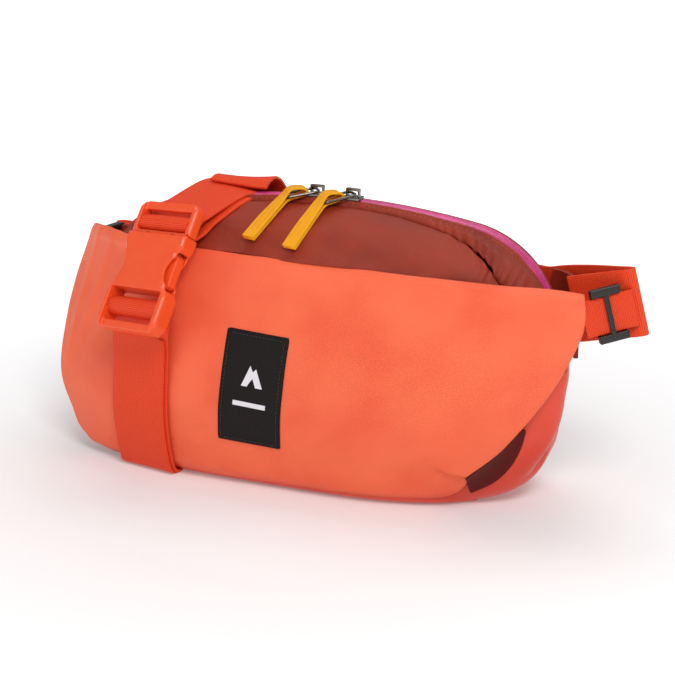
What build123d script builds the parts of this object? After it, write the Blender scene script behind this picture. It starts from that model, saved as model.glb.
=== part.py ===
from build123d import *
import math
import os

# A hip pack that stands on its base, stuffed, with its waist belt wrapped round it and buckled.
# X runs to the wearer's left-hand side as seen from the front, Y runs back to the wearer, Z is up.
# The origin is on the flat base, below the middle of the zip. Lengths are in millimetres.

# Body of the pack
fabric = 1.8                    # thickness of a panel with its seam allowance
layer_gap = 1.2                 # air between two layers that only lie on each other
zip_half_width = 139.0          # half of the distance between the zip's straight ends
zip_height = 158.0              # height of the zip's crest above the base
crown_radius = 480.0            # long arc of the zip
corner_radius = 60.0            # arcs at the zip's two corners
zip_end_height = 60.0           # height at which the zip ends on each side
zip_y = 18.0                    # plane of the zip
tape_half = 5.5                 # half width of the whole zip tape
slit_half = 0.75                # half gap between the two tapes
back_y = 42.0                   # outer face of the back panel
back_thickness = 3.4
side_panel_height = 78.0        # top of the coated lower panel, in front of the zip
lower_corner = 53.0             # how far the base corner runs in from the side
lower_corner_height = 70.0
lower_corner_power = 2.3
rear_half_width = 128.0
rear_height = 149.0
seam_y = 1.0                    # seam below the zip, where the gathered facing ends
seam_section = (140.0, 148.0, 151.3, 60.0)  # left, right, height, corner radius
upper_sections = [              # y, left, right, height, corner radius
    (-26.5, 82.0, 104.0, 134.0, 44.0),
    (-12.0, 118.0, 142.0, 143.3, 52.0),
]
tub_sections = [                # y, half width, in front of the zip
    (-23.5, 121.0),
    (-12.5, 143.0),
    (0.0, 149.0),
    (zip_y - tape_half, zip_half_width),
]
rear_tub_sections = [
    (zip_y - tape_half + 0.1, zip_half_width),
    (zip_y + tape_half, zip_half_width),
    (back_y - back_thickness - 0.1, rear_half_width),
]

# Front wing panel: y = middle(z) + pull(z) * (|x| / wing_reach) ** wing_power
wing_reach = 160.0
wing_power = 3.2
front_levels = [                # z, y at the middle, pull on the right, pull on the left
    (-4.0, -38.0, 106.0, 25.0),
    (20.0, -46.0, 58.0, 28.0),
    (45.0, -49.0, 39.0, 31.0),
    (80.0, -42.0, 33.0, 40.0),
    (108.0, -33.5, 22.0, 49.0),
    (134.0, -29.5, 15.0, 61.0),
]
wing_outline = [                # x, z of the panel's edge, from the left tip clockwise
    (-158.5, 126.0), (-143.0, 130.0), (-100.0, 132.0), (0.0, 132.0), (67.0, 130.5),
    (147.0, 128.5), (160.5, 126.0), (160.0, 105.0), (150.0, 85.0), (143.0, 68.0),
    (132.0, 52.0), (121.0, 38.0), (106.0, 28.0), (104.0, 12.0), (96.0, 2.6),
    (-116.0, 2.6), (-136.0, 12.0), (-147.0, 27.0), (-156.0, 45.0), (-159.0, 62.0),
    (-160.0, 90.0),
]
gusset_width = 10.0

# Webbing
webbing = 37.0
webbing_thickness = 1.6
narrow_webbing = 20.0
narrow_thickness = 1.4

# Buckle frame: u across, v along the belt, n out of its face
buckle_origin = Vector(-84.0, -62.0, 91.5)
buckle_along = Vector(0.10, 0.57, 0.815).normalized()
buckle_across_hint = Vector(0.96, -0.27, 0.07)
buckle_width = 46.0
socket_length = 58.0
buckle_thickness = 12.4
plug_length = 20.0              # part of the plug that stands out of the socket
rail = 4.2
cavity_half_width = 20.4
cavity_half_height = 3.8
socket_bar = 14.2               # middle of the bar that the belt goes round
socket_bar_half = 2.9
plug_bar = 65.5
plug_bar_half = 2.1
webbing_air = 0.6
prong_hinge = (9.5, 56.0)
prong_gap = 0.35

# Zip hardware
slider_angles = {"left": -0.42, "right": 2.15}
ring_wire = 0.8                 # radius
ring_half_width = 5.4
ring_corner = 1.4
bridge_height = 4.4             # centre of the ring's wire above the tape
tab_width = 8.5
tab_thickness = 3.0
ring_ends = {"left": Vector(-18.3, 7.7, 159.9), "right": Vector(5.0, 4.6, 159.4)}
tab_ends = {"left": Vector(-28.0, -23.0, 141.4), "right": Vector(-2.0, -26.0, 139.2)}

# Belt loops beside the body
loop_tilt = 15.0
loop_pivot_x = 165.0
loop_pivot_height = 115.0
stabiliser_drop = -1.8          # narrow strap's middle below the loop's middle
left_loop_height = 105.0
strap_x = -88.0                 # middle of the lower strap
strap_fold_x = -50.0            # middle of the upper strap where it falls down the back
strap_yaw = 0.185               # turn of the front panel under the strap, in radians

crown_centre_z = zip_height - crown_radius
corner_x = zip_half_width - corner_radius
corner_z = crown_centre_z + math.sqrt((crown_radius - corner_radius) ** 2 - corner_x ** 2)
corner_turn = math.asin(corner_x / (crown_radius - corner_radius))


def save(node, shape):
    """One node's solids go to one file."""
    solids = shape.solids()
    kept = solids[0] if len(solids) == 1 else Compound(children=solids)
    kept.label = node
    export_step(kept, f"parts/{node}.step")
    parts[node] = kept
    return kept


def box(x0, x1, y0, y1, z0, z1):
    return Pos((x0 + x1) / 2, (y0 + y1) / 2, (z0 + z1) / 2) * Box(x1 - x0, y1 - y0, z1 - z0)


def along_y(face, y0, y1):
    """A face drawn in the XZ plane, as a prism from y0 to y1."""
    return Pos(0, y0, 0) * extrude(face, amount=-(y1 - y0))


def xz_face(points):
    return Plane.XZ * make_face(Polyline(*points, close=True))


def frame_at(origin, x_dir, z_dir):
    return Plane(origin=origin, x_dir=x_dir, z_dir=z_dir)


def band(points, thickness):
    """A strip of even thickness along a smooth open line of 2-D points, as a face."""
    sides = ([], [])
    last = len(points) - 1
    for i, (x, y) in enumerate(points):
        ax, ay = points[max(i - 1, 0)]
        bx, by = points[min(i + 1, last)]
        run = math.hypot(bx - ax, by - ay)
        nx, ny = -(by - ay) / run, (bx - ax) / run
        sides[0].append((x + nx * thickness / 2, y + ny * thickness / 2))
        sides[1].append((x - nx * thickness / 2, y - ny * thickness / 2))
    upper = Spline(*sides[0])
    lower = Spline(*sides[1])
    ends = Line(upper @ 0, lower @ 0) + Line(upper @ 1, lower @ 1)
    return make_face(upper + lower + ends)


# ---------------------------------------------------------------- body shells

def outline_arcs(y, left, right, height, corner_r, bottom, inset):
    """Open arch at depth y, from its left foot over the crown to its right foot."""
    crown, corner = crown_radius - inset, corner_r - inset
    centre_z = height - crown_radius
    feet = []
    for w, sign in ((left - inset, -1), (right - inset, 1)):
        cx = w - corner
        cz = centre_z + math.sqrt((crown - corner) ** 2 - cx ** 2)
        turn = math.asin(cx / (crown - corner))
        middle = (turn + math.pi / 2) / 2
        feet.append([
            (sign * w, y, bottom),
            (sign * w, y, cz),
            (sign * (cx + corner * math.sin(middle)), y, cz + corner * math.cos(middle)),
            (sign * crown * math.sin(turn), y, centre_z + crown * math.cos(turn)),
        ])
    (l0, l1, l2, l3), (r0, r1, r2, r3) = feet
    return [
        Line(l0, l1), ThreePointArc(l1, l2, l3), ThreePointArc(l3, (0, y, centre_z + crown), r3),
        ThreePointArc(r3, r2, r1), Line(r1, r0),
    ]


def tub_lines(y, half_width, top, inset):
    """Open U at depth y: down the left side, along the flat base and up the right side."""
    w = half_width - inset
    rise = lower_corner_height - inset
    corner = []
    drop = max(lower_corner_height - top, 0.0) / rise
    start = math.asin(drop ** (lower_corner_power / 2))
    for i in range(7):
        a = start + (math.pi / 2 - start) * i / 6
        x = w - lower_corner + lower_corner * math.cos(a) ** (2 / lower_corner_power)
        corner.append((x, lower_corner_height - rise * math.sin(a) ** (2 / lower_corner_power)))
    right = [(x, y, z) for x, z in corner]
    left = [(-x, y, z) for x, z in corner]
    lines = [Spline(*left), Line(left[-1], right[-1]), Spline(*right[::-1])]
    if top > lower_corner_height:
        lines = [Line((-w, y, top), left[0]), *lines, Line(right[0], (w, y, top))]
    return lines


def strip_face(outer, inner):
    """The face between two open lines that start and end beside each other."""
    ends = [Line(outer[0] @ 0, inner[0] @ 0), Line(outer[-1] @ 1, inner[-1] @ 1)]
    return make_face(outer + ends + inner)


def arch_shell(sections, bottom):
    """Cloth over the top of the pack, between sections (y, left, right, height, corner radius)."""
    faces = []
    for section in sections:
        outer = outline_arcs(*section, bottom, 0.0)
        faces.append(strip_face(outer, outline_arcs(*section, bottom, fabric)))
    return loft(faces, ruled=True)


def tub_shell(sections, top):
    faces = []
    for y, half_width in sections:
        faces.append(strip_face(tub_lines(y, half_width, top, 0.0), tub_lines(y, half_width, top, fabric)))
    return loft(faces, ruled=True)


def front_line(level, x_left, x_right, inset):
    """Points of the front surface at one height, from left to right."""
    z, middle, pull_right, pull_left = level
    points = []
    for i in range(13):
        x = x_left + (x_right - x_left) * i / 12
        pull = pull_right if x > 0 else pull_left
        points.append((x, middle + inset + pull * abs(x / wing_reach) ** wing_power, z))
    return points


def front_sheet(x_left, x_right, inset, thickness, levels):
    """A sheet that follows the front surface, set back from it by inset."""
    faces = []
    for level in levels:
        outer = [Spline(*front_line(level, x_left, x_right, inset))]
        inner = [Spline(*front_line(level, x_left, x_right, inset + thickness))]
        faces.append(strip_face(outer, inner))
    return loft(faces, ruled=True)


def make_body():
    front_of_zip = zip_y - tape_half
    rear_of_zip = zip_y + tape_half
    back_inner = back_y - back_thickness
    crest = (zip_half_width, zip_half_width, zip_height, corner_radius)
    rear_edge = (rear_half_width, rear_half_width, rear_height, corner_radius)

    plate = outline_arcs(back_inner, *rear_edge, 40, 0.0)
    plate_foot = Spline(*[
        (rear_half_width * math.cos(a), back_inner, 40 - 40 * math.sin(a) ** 0.7)
        for a in (math.pi * i / 12 for i in range(13))
    ])
    back = make_face(plate + [plate_foot])
    save("back_panel", extrude(back, amount=back_thickness, dir=(0, 1, 0)))
    save("rear_gusset", arch_shell([(rear_of_zip, *crest), (back_inner - 0.1, *rear_edge)], zip_end_height))
    save("zip_facing", arch_shell([(seam_y, *seam_section), (front_of_zip, *crest)], side_panel_height))
    upper = [(y - 0.05, *section) for y, *section in upper_sections] + [(seam_y - 0.1, *seam_section)]
    save("front_upper_panel", arch_shell(upper, side_panel_height))

    front_tub = tub_shell(tub_sections, side_panel_height - 0.1)
    rear_tub = tub_shell(rear_tub_sections, zip_end_height - 0.1)
    # the base is pushed up where the belt passes under it
    top = webbing_thickness + 0.6
    channel = box(-109, -67, -60, 60, -1, top)
    front_ridge = box(-110.8, -65.2, -12, front_of_zip, 0.9, top + fabric)
    rear_ridge = box(-110.8, -65.2, front_of_zip + 0.1, rear_of_zip + 6, 0.9, top + fabric)
    save("front_side_panel", front_tub + front_ridge - channel)
    save("base_and_side_panel", rear_tub + rear_ridge - channel)
    inner_levels = [front_level(z) for z in (8.0, 20.0, 45.0, 80.0, 108.0)]
    save("front_inner_wall", front_sheet(-78, 84, fabric + layer_gap, 1.0, inner_levels))


def front_level(z):
    """The front surface's numbers at any height, between the two levels beside it."""
    for low, high in zip(front_levels, front_levels[1:]):
        if low[0] <= z <= high[0]:
            t = (z - low[0]) / (high[0] - low[0])
            return tuple(a + (b - a) * t for a, b in zip(low, high))
    raise ValueError(z)


def make_back_inside():
    y0 = back_y - back_thickness - 3.4
    side = rear_half_width - 20
    pad = outline_arcs(y0, side, side, rear_height - 14, corner_radius, 26, 0.0)
    pad_face = make_face(pad + [Line(pad[-1] @ 1, pad[0] @ 0)])
    save("back_pad", extrude(pad_face, amount=3.2, dir=(0, 1, 0)))
    pocket = Plane.XZ * Pos(0, 60) * RectangleRounded(170, 84, 10)
    save("inner_pocket", along_y(pocket, 30.0, 31.2))


def make_front_wing():
    slab = along_y(xz_face(wing_outline), -80, 60)
    reach = wing_reach * 1.04
    save("front_wing_panel", front_sheet(-reach, reach, 0.0, fabric, front_levels) & slab)


def front_y(x, z):
    _, middle, pull_right, pull_left = front_level(z)
    return middle + (pull_right if x > 0 else pull_left) * abs(x / wing_reach) ** wing_power


def make_wing_gussets():
    """Folded cloth behind each wing's lower edge, towards the side of the body."""
    edges = {"right": wing_outline[8:13], "left": wing_outline[-2:-6:-1]}
    for side, edge in edges.items():
        faces = []
        for (x, z), (bx, bz) in zip(edge, edge[1:]):
            x, z = (x + bx) / 2, (z + bz) / 2
            sign = 1 if x > 0 else -1
            run = Vector(bx - x, front_y(bx, bz) - front_y(x, z), bz - z).normalized()
            inward = Vector(-sign * 0.55, 0.8, -0.25)
            inward = (inward - run * inward.dot(run)).normalized()
            middle = Vector(x, front_y(x, z) + fabric + 1.6, z) + inward * (gusset_width / 2)
            plane = Plane(origin=middle, x_dir=inward, z_dir=run)
            faces.append(plane * Rectangle(gusset_width, 0.9))
        save(f"wing_gusset_{side}", loft(faces, ruled=True))


# ---------------------------------------------------------------- zip

def arch_face(offset, bottom):
    """The zip's arch, grown by offset and closed at the bottom height, as a face in XZ."""
    w = zip_half_width + offset
    crown, corner = crown_radius + offset, corner_radius + offset
    tx, tz = crown * math.sin(corner_turn), crown_centre_z + crown * math.cos(corner_turn)
    middle = (corner_turn + math.pi / 2) / 2
    mx, mz = corner_x + corner * math.sin(middle), corner_z + corner * math.cos(middle)
    lines = (
        Line((-w, bottom), (-w, corner_z))
        + ThreePointArc((-w, corner_z), (-mx, mz), (-tx, tz))
        + ThreePointArc((-tx, tz), (0, crown_centre_z + crown), (tx, tz))
        + ThreePointArc((tx, tz), (mx, mz), (w, corner_z))
        + Line((w, corner_z), (w, bottom))
        + Line((w, bottom), (-w, bottom))
    )
    return Plane.XZ * make_face(lines)


def arch_band(outer, inner, y0, y1, bottom):
    return along_y(arch_face(outer, bottom) - arch_face(inner, bottom - 1), y0, y1)


def make_zip():
    for side, sign in (("front", -1), ("rear", 1)):
        tape_edges = sorted((zip_y + sign * slit_half, zip_y + sign * (tape_half - 0.1)))
        coil_edges = sorted((zip_y + sign * 0.95, zip_y + sign * 3.0))
        save(f"zip_tape_{side}", arch_band(0.4, -0.4, *tape_edges, zip_end_height + 4.4))
        save(f"zip_coil_{side}", arch_band(-0.5, -2.3, *coil_edges, zip_end_height + 4.4))
    stop = along_y(xz_face([(-2.6, 0), (0.4, 0), (0.4, 4), (-2.6, 4)]), zip_y - 3.2, zip_y + 3.2)
    stops = []
    for sign in (-1, 1):
        placed = stop if sign > 0 else mirror(stop, Plane.YZ)
        stops.append(Pos(sign * zip_half_width, 0, zip_end_height + 0.2) * placed)
    save("zip_end_stops", stops[0] + stops[1])


def make_slider(side):
    """Two plates joined by a thin post that runs in the slit, with a bridge for the ring."""
    z = zip_height
    top = box(-5.5, 5.5, zip_y - 4.4, zip_y + 4.4, z + 1.1, z + 2.6)
    bottom = box(-5.0, 5.0, zip_y - 3.4, zip_y + 3.4, z - 4.2, z - 2.8)
    post = box(-1.2, 1.2, zip_y - 0.3, zip_y + 0.3, z - 3.0, z + 1.3)
    bridge_z = z + bridge_height + 2.0
    bridge = box(-4.2, 4.2, zip_y - 1.2, zip_y + 1.2, bridge_z - 0.5, bridge_z + 0.9)
    legs = box(-4.2, -3.0, zip_y - 1.2, zip_y + 1.2, z + 2.4, bridge_z)
    legs += box(3.0, 4.2, zip_y - 1.2, zip_y + 1.2, z + 2.4, bridge_z)
    body = fillet(top.edges().filter_by(Axis.Z), 1.6) + bottom + post + bridge + legs
    turn = Axis((0, zip_y, crown_centre_z), (0, 1, 0))
    save(f"slider_body_{side}", body.rotate(turn, slider_angles[side]))


def bridge_point(side):
    a = math.radians(slider_angles[side])
    r = crown_radius + bridge_height
    return Vector(r * math.sin(a), zip_y, crown_centre_z + r * math.cos(a))


def pull_frames(side):
    """Frames at the ring's two ends: x along the pull, y across it, z up from the cloth."""
    start, middle, end = bridge_point(side), ring_ends[side], tab_ends[side]
    frames = []
    for a, b in ((start, middle), (middle, end)):
        along = (b - a).normalized()
        across = Vector(0, 0, 1).cross(along).normalized()
        frames.append(frame_at(a, along, along.cross(across)))
    return frames


def make_pull(side):
    start, middle, end = bridge_point(side), ring_ends[side], tab_ends[side]
    ring_frame, tab_frame = pull_frames(side)
    span = (middle - start).length
    loop = Pos(span / 2, 0) * Rectangle(span, 2 * ring_half_width)
    loop = fillet(loop.vertices().group_by(Axis.X)[-1], ring_corner)
    loop = fillet(loop.vertices().group_by(Axis.X)[0], 2.4 * ring_corner)
    path = loop.face().outer_wire()
    ring = sweep(Plane(origin=path @ 0, z_dir=path % 0) * Circle(ring_wire), path=path)
    save(f"pull_ring_{side}", ring_frame * ring)

    # the tab is folded round the ring's end and leads off at its own angle
    bar = Plane(origin=middle, x_dir=ring_frame.x_dir, z_dir=ring_frame.y_dir)
    length = (end - middle).length
    strip = tab_frame * Pos(length / 2, 0, 0) * Box(length, tab_width, tab_thickness)
    sleeve = bar * Cylinder(tab_thickness / 2 + 0.7, 7.4)
    save(f"pull_tab_{side}", strip + sleeve - bar * Cylinder(1.25, 30))


# ---------------------------------------------------------------- buckle

def buckle_frame():
    across = buckle_across_hint - buckle_along * buckle_across_hint.dot(buckle_along)
    across = across.normalized()
    return frame_at(buckle_origin, across, across.cross(buckle_along))


def slot_hole(v0, v1, half_width, height=30.0):
    return Pos(0, (v0 + v1) / 2, 0) * extrude(
        RectangleRounded(2 * half_width, v1 - v0, min(1.8, (v1 - v0) / 2 - 0.05)), amount=height, both=True
    )


def make_socket():
    half = buckle_width / 2
    depth = buckle_thickness
    outline = Polyline(
        (-half + 3, 0), (half - 3, 0), (half, 5), (half, 21), (half - 3.0, 26), (half - 3.0, 47),
        (half - 0.5, 51), (half - 0.5, socket_length), (-half + 0.5, socket_length),
        (-half + 0.5, 51), (-half + 3.0, 47), (-half + 3.0, 26), (-half, 21), (-half, 5), close=True,
    )
    shell = extrude(make_face(outline), amount=depth / 2, both=True)
    shell = chamfer(shell.faces().sort_by(Axis.Z)[-1].edges(), 1.6)
    shell = chamfer(shell.faces().sort_by(Axis.Z)[0].edges(), 1.6)
    cavity = box(-cavity_half_width, cavity_half_width, 25.5, 60, -cavity_half_height, cavity_half_height)
    window = Pos(0, 36.5, 0) * extrude(Ellipse(8.5, 10.5), amount=cavity_half_height + 0.1, both=True)
    for sign in (-1, 1):
        shell -= Pos(sign * (half - 1.5), 0, 0) * window
        notch = Pos(sign * (half + 1.0), 36.5, 0) * extrude(Ellipse(8.0, 9.5), amount=30, both=True)
        shell -= notch
    shell -= cavity
    low, high = socket_bar - socket_bar_half, socket_bar + socket_bar_half
    shell -= slot_hole(4.6, low, webbing / 2 + 0.6)
    shell -= slot_hole(high, 23.8, webbing / 2 + 0.6)
    # the ladder end is thinner than the housing, and its middle bar is thinner still
    for sign in (-1, 1):
        shell -= Pos(0, 10, sign * 7.6) * Box(webbing + 1.2, 27.2, 8.0)
        shell -= Pos(0, socket_bar, sign * 5.8) * Box(webbing + 1.2, high - low + 0.1, 8.0)
    save("buckle_socket", buckle_frame() * shell)


def make_plug():
    half = buckle_width / 2
    v0 = socket_length + 0.4
    v1 = socket_length + plug_length
    outline = Polyline(
        (-half + 0.5, v0), (half - 0.5, v0), (half - 0.5, v1 - 4), (half - 4.5, v1),
        (-half + 4.5, v1), (-half + 0.5, v1 - 4), close=True,
    )
    head = extrude(make_face(outline), amount=rail, both=True)
    head = chamfer(head.faces().sort_by(Axis.Z)[-1].edges(), 1.5)
    head = chamfer(head.faces().sort_by(Axis.Z)[0].edges(), 1.5)
    for sign in (-1, 1):
        head -= Pos(0, (v0 + v1) / 2, sign * 5.4) * Box(webbing + 0.9, plug_length + 2, 7.0)
    head -= slot_hole(v0 + 1.6, plug_bar - plug_bar_half, webbing / 2 + 0.4)
    head -= slot_hole(plug_bar + plug_bar_half, v0 + 14.6, webbing / 2 + 0.4)
    base = box(-cavity_half_width + 0.5, cavity_half_width - 0.5, v0 - 1.2, v0 + 1.6, -3.2, 3.2)
    tongue = box(-4.0, 4.0, 30.0, v0, -1.8, 1.8)
    plug = head + base + tongue
    u, v = prong_hinge
    for sign in (-1, 1):
        seat = Pos(sign * u, v, 0) * Cylinder(2.6, 20)
        plug -= seat
    save("buckle_plug", buckle_frame() * plug)


def make_prongs():
    u, v = prong_hinge
    for side, sign in (("left", -1), ("right", 1)):
        eye = Pos(u, v, 0) * Cylinder(2.6 - prong_gap, 2 * 3.0)
        arm_line = Polyline(
            (u - 1.6, v), (u + 1.6, v), (16.0, 50.0), (20.0, 45.5), (20.0, 28.5), (17.0, 26.6),
            (13.6, 28.0), (14.4, 44.0), close=True,
        )
        arm = extrude(make_face(arm_line), amount=2.9, both=True) + eye
        arm -= box(0, 30, v - 0.6 + 2.6, 80, -9, 9)
        if sign < 0:
            arm = mirror(arm, Plane.YZ)
        save(f"release_prong_{side}", buckle_frame() * arm)


def bar_wrap(bar, half_bar, bar_depth):
    """Webbing that comes up through one slot, over a bar and down through the next."""
    edge = half_bar + webbing_air + webbing_thickness / 2
    depth = bar_depth + webbing_air + webbing_thickness / 2
    points = [(bar - edge, -depth), (bar - edge, depth * 0.35), (bar - edge * 0.55, depth)]
    points += [(bar + edge * 0.55, depth), (bar + edge, depth * 0.35), (bar + edge, -depth)]
    return Plane.YZ * band(points, webbing_thickness)


def make_buckle_webbing():
    frame = buckle_frame()
    ladder = extrude(bar_wrap(socket_bar, socket_bar_half, 1.8), amount=webbing / 2, both=True)
    save("socket_webbing", frame * ladder)
    around = extrude(bar_wrap(plug_bar, plug_bar_half, 1.9), amount=webbing / 2 - 0.2, both=True)
    save("plug_webbing", frame * around)


# ---------------------------------------------------------------- label and belt

def make_label():
    levels = [front_level(z) for z in (30.0, 45.0, 62.0, 80.0, 92.0)]
    save("label", front_sheet(-35.0, 2.0, -0.9, 0.7, levels))


def flat_run(sections, width, thickness):
    """A flat strap through sections (centre, direction across the strap, direction along it)."""
    faces = []
    for centre, across, along in sections:
        along = Vector(*along).normalized()
        across = Vector(*across)
        across = (across - along * across.dot(along)).normalized()
        faces.append(Plane(origin=centre, x_dir=across, z_dir=along) * Rectangle(width, thickness))
    return loft(faces, ruled=True)


def make_lower_strap():
    """From the socket down the front, under the base and up the back."""
    t = webbing_thickness
    slope = strap_yaw
    heights = (6.0, 14.0, 24.0, 36.0, 48.0, 58.0)
    line = [(front_y(strap_x, z) - 1.3 - t / 2, z) for z in heights]
    line.append((line[-1][0] - 1.0, 68.0))
    line.append((line[-1][0] - 2.4, 78.0))
    across = (math.cos(slope), -math.sin(slope), 0)
    back = (math.sin(slope), math.cos(slope), 0)
    plane = Plane(origin=(strap_x, 0, 0), x_dir=back, z_dir=across)
    save("lower_strap_front", plane * extrude(band(line, t), amount=webbing / 2, both=True))

    under = [(-42.6, 3.9), (-40.6, 1.7), (-36.0, t / 2 + 0.1), (-28.0, t / 2 + 0.1), (0.0, t / 2 + 0.1), (30.0, t / 2 + 0.1)]
    under += [(37.0, t / 2 + 0.15), (42.0, 2.6), (44.5, 7.5), (44.6, 14.0), (44.6, 60.0), (44.6, 122.0)]
    plane = Plane(origin=(strap_x, 0, 0), x_dir=(0, 1, 0), z_dir=(1, 0, 0))
    save("lower_strap_under", plane * extrude(band(under, t), amount=webbing / 2, both=True))


def make_upper_strap():
    """From behind the plug up to the crest, then down the back and across to the right loop."""
    along = (0.36, 0.93, 0.42)
    across = (0.93, -0.36, -0.10)
    front = [
        ((-73.5, -14.0, 145.3), across, along),
        ((-66.5, 4.0, 152.6), across, along),
        ((-61.5, 16.0, 158.4), across, (0.36, 0.93, 0.15)),
    ]
    save("upper_strap_front", flat_run(front, webbing, webbing_thickness))
    over = [(23.8, 162.2), (28.0, 163.4), (33.0, 161.8), (39.0, 157.0), (43.6, 149.8), (46.2, 141.0)]
    over += [(47.2, 131.0), (47.2, 118.0), (47.2, 91.0)]
    plane = Plane(origin=(strap_fold_x, 0, 0), x_dir=(0, 1, 0), z_dir=(1, 0, 0))
    falling = plane * extrude(band(over, webbing_thickness), amount=webbing / 2, both=True)
    t = webbing_thickness / 2
    level = box(strap_fold_x - webbing / 2, 96, 47.2 - t, 47.2 + t, 108 - webbing / 2, 108 + webbing / 2)
    save("upper_strap_back", falling + level)


def loop_plane():
    a = math.radians(loop_tilt)
    tilted = Vector(math.cos(a), 0, math.sin(a))
    return Plane(origin=(loop_pivot_x, 0, loop_pivot_height), x_dir=tilted, z_dir=(-math.sin(a), 0, math.cos(a)))


def make_triglide():
    """Three-bar slide: x along the strap, z across it, with the strap in front of its side bars."""
    half = narrow_webbing / 2
    frame = box(-1.4, 1.4, -2.8, -1.0, -half - 1, half + 1)
    for sign in (-1, 1):
        low, high = sorted((sign * (half + 0.4), sign * (half + 4.6)))
        frame += box(-8, 8, -2.8, 2.4, low, high)
        left, right = sorted((sign * 5.8, sign * 8))
        frame += box(left, right, 1.0, 2.4, -half - 1, half + 1)
    return frame


def make_right_loop():
    t = webbing_thickness
    plane = loop_plane()
    near = [(-16.5, 11.3), (-4.0, 9.2), (10.0, 6.6), (17.5, 5.0), (20.5, 5.2), (21.3, 7.2), (19.6, 9.4)]
    far = [(12.0, 15.6), (0.0, 25.6), (-12.0, 34.6), (-26.0, 43.0), (-38.0, 47.0), (-62.0, 49.0)]
    save("belt_loop_right", plane * extrude(band(near + far, t), amount=webbing / 2, both=True))
    strap = band([(-3.4, -9.6), (6.5, -4.4), (19.5, 2.6)], narrow_thickness)
    strap = Pos(0, 0, stabiliser_drop) * extrude(strap, amount=narrow_webbing / 2, both=True)
    save("stabiliser_strap_right", plane * strap)
    seat = Plane(origin=(6.5, -4.4, stabiliser_drop), x_dir=(0.875, 0.475, 0), z_dir=(0, 0, 1))
    save("triglide_right", plane.location * seat.location * make_triglide())
    wing = band([(129.3, 41.0), (134.5, 39.0), (141.5, 32.0), (148.0, 20.0), (150.6, 14.6)], 2.4)
    save("back_wing_right", Pos(0, 0, 103) * extrude(wing, amount=21, both=True))


def make_left_loop():
    t = webbing_thickness
    far = [(-69.0, 46.9), (-90.0, 47.0), (-110.0, 48.4), (-130.0, 51.6), (-148.0, 54.2), (-152.6, 53.6)]
    near = [(-154.0, 51.4), (-152.0, 49.4), (-146.0, 48.0), (-138.0, 45.9), (-130.0, 43.5)]
    loop = extrude(band(far + near, t), amount=webbing / 2, both=True)
    save("belt_loop_left", Pos(0, 0, left_loop_height) * loop)
    ends = (Vector(-151.4, 29.2), Vector(-148.6, 46.2))
    strap = band([tuple(ends[0])[:2], (-149.9, 38.0), tuple(ends[1])[:2]], narrow_thickness)
    height = left_loop_height + 5.0
    save("stabiliser_strap_left", Pos(0, 0, height) * extrude(strap, amount=narrow_webbing / 2, both=True))
    seat = Plane(origin=(-150.0, 37.4, height), x_dir=(0.163, 0.987, 0), z_dir=(0, 0, 1))
    save("triglide_left", seat * make_triglide())
    save("back_wing_left", box(-144.5, -128.6, 39.6, 42.0, 82.0, 124.0))


parts = {}
os.makedirs("parts", exist_ok=True)
make_body()
make_back_inside()
make_front_wing()
make_wing_gussets()
make_label()
make_zip()
for side in ("left", "right"):
    make_slider(side)
    make_pull(side)
make_socket()
make_plug()
make_prongs()
make_buckle_webbing()
make_lower_strap()
make_upper_strap()
make_right_loop()
make_left_loop()

frame = buckle_frame()
print("buckle across, along, out", frame.x_dir, frame.y_dir, frame.z_dir)
for side, sign in (("left", -1), ("right", 1)):
    hinge = frame.from_local_coords(Vector(sign * prong_hinge[0], prong_hinge[1], 0))
    print("prong hinge", side, hinge)
    print("ring hinge", side, bridge_point(side), "tab hinge", ring_ends[side])
    print("axis of both", pull_frames(side)[0].y_dir)
seat = loop_plane()
print("right triglide runs along", seat.x_dir * 0.875 + seat.y_dir * 0.475)
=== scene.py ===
import math

import bpy
import numpy as np
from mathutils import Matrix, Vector


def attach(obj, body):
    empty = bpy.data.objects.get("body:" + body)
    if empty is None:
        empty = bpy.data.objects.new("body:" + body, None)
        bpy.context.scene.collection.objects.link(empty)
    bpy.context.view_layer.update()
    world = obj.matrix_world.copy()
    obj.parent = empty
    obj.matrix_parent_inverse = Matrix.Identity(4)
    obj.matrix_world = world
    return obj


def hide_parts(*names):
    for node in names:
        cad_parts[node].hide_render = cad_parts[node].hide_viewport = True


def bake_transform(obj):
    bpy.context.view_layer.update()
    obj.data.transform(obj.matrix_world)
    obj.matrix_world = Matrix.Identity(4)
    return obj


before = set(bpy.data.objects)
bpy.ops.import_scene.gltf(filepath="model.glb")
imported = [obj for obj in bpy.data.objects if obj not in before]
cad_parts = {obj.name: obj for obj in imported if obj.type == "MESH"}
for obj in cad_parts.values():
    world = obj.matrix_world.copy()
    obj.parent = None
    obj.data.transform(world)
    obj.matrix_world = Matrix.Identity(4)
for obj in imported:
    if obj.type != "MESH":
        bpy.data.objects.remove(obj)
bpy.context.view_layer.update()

# Looks of the hip pack. Lengths are written in millimetres and turned into metres when a mesh is made.
# Lights, the camera and the scale of "object" textures are in metres, as Blender takes them.
# X to the right as seen from the front, Y back to the wearer, Z up, as in the frame.
MM = 0.001
FABRIC, HEM = 0.9, 1.5              # thickness of the light cloth and of the wing panel
BELT_WIDTH, NARROW_WIDTH = 37, 20   # the belt is drawn a little inside its 38 mm solid
BELT_THICK = 1.6
ZIP_Y = 18                          # depth of the zip's centre line


# ---------------------------------------------------------------- numbers to surfaces

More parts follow.
